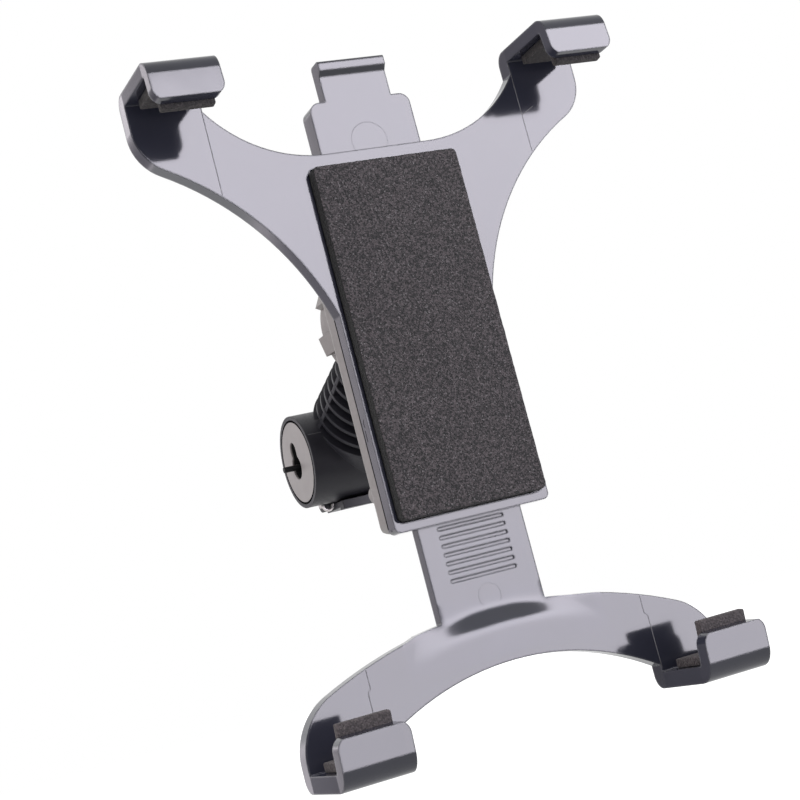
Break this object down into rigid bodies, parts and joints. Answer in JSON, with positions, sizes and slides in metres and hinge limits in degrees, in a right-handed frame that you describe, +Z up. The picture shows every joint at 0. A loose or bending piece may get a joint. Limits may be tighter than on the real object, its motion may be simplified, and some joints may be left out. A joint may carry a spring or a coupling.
{
  "type": "headrest tablet mount",
  "caption": "Hooked tablet holder with flared upper arms and a sliding arched lower bracket, on a ball joint carried by a finned neck and a cross barrel for a car headrest.",
  "frame": {"origin": "middle of the cross barrel, where the headrest arms plug in", "axes": "+X along the barrel, +Z up, holder front facing -Y"},
  "size_m": [0.1376, 0.1093, 0.194],
  "materials": {
    "gloss_black": "polished black plastic",
    "satin_shell": "satin dark grey plastic",
    "satin_black": "fine-textured black plastic",
    "charcoal_foam": "open-cell charcoal foam with fine sparkle",
    "lining_foam": "dense brown-grey foam strip",
    "nylon": "natural nylon",
    "cap_grey": "satin grey plastic",
    "latch_grey": "satin grey plastic",
    "steel": "bright steel"
  },
  "bodies": {
    "hub": {"hub_barrel": "satin_black", "ball_stud": "satin_black", "end_cap_left": "cap_grey", "end_cap_right": "cap_grey", "latch_bar": "latch_grey", "paddle_pin": "steel", "paddle_spring": "steel"},
    "paddle": {"release_paddle": "satin_black"},
    "liner": {"ball_liner": "nylon"},
    "thrust": {"thrust_pad": "nylon"},
    "holder": {"front_cover": "gloss_black", "back_shell": "satin_shell", "foam_pad": "charcoal_foam", "shell_screws": "steel", "detent_leaf": "steel", "upper_lining_left": "lining_foam", "upper_lining_right": "lining_foam"},
    "ring": {"lock_ring": "satin_shell"},
    "bracket": {"lower_bracket": "gloss_black", "lower_lining_left": "lining_foam", "lower_lining_right": "lining_foam"},
    "tab": {"top_tab": "gloss_black"}
  },
  "joints": [
    {"name": "holder_nod", "type": "hinge", "parent": "hub", "child": "liner", "pos_m": [0, -0.04575, 0.03017], "axis": [1, 0, 0], "range_deg": [-60, 3]},
    {"name": "holder_turn", "type": "hinge", "parent": "liner", "child": "thrust", "pos_m": [0, -0.04575, 0.03017], "axis": [0, 0, 1], "range_deg": [-15, 15]},
    {"name": "holder_spin", "type": "hinge", "parent": "thrust", "child": "holder", "pos_m": [0, -0.04575, 0.03017], "axis": [0, 1, 0], "continuous": true},
    {"name": "ring_turn", "type": "hinge", "parent": "holder", "child": "ring", "pos_m": [0, -0.04575, 0.03017], "axis": [0, 1, 0], "range_deg": [-120, 30]},
    {"name": "bracket_slide", "type": "slide", "parent": "holder", "child": "bracket", "axis": [0, 0, 1], "range_m": [-0.03, 0.02]},
    {"name": "tab_slide", "type": "slide", "parent": "holder", "child": "tab", "axis": [0, 0, 1], "range_m": [-0.014, 0.003]},
    {"name": "paddle_press", "type": "hinge", "parent": "hub", "child": "paddle", "pos_m": [0, 0.0084, -0.014], "axis": [1, 0, 0], "range_deg": [0, 7]}
  ]
}
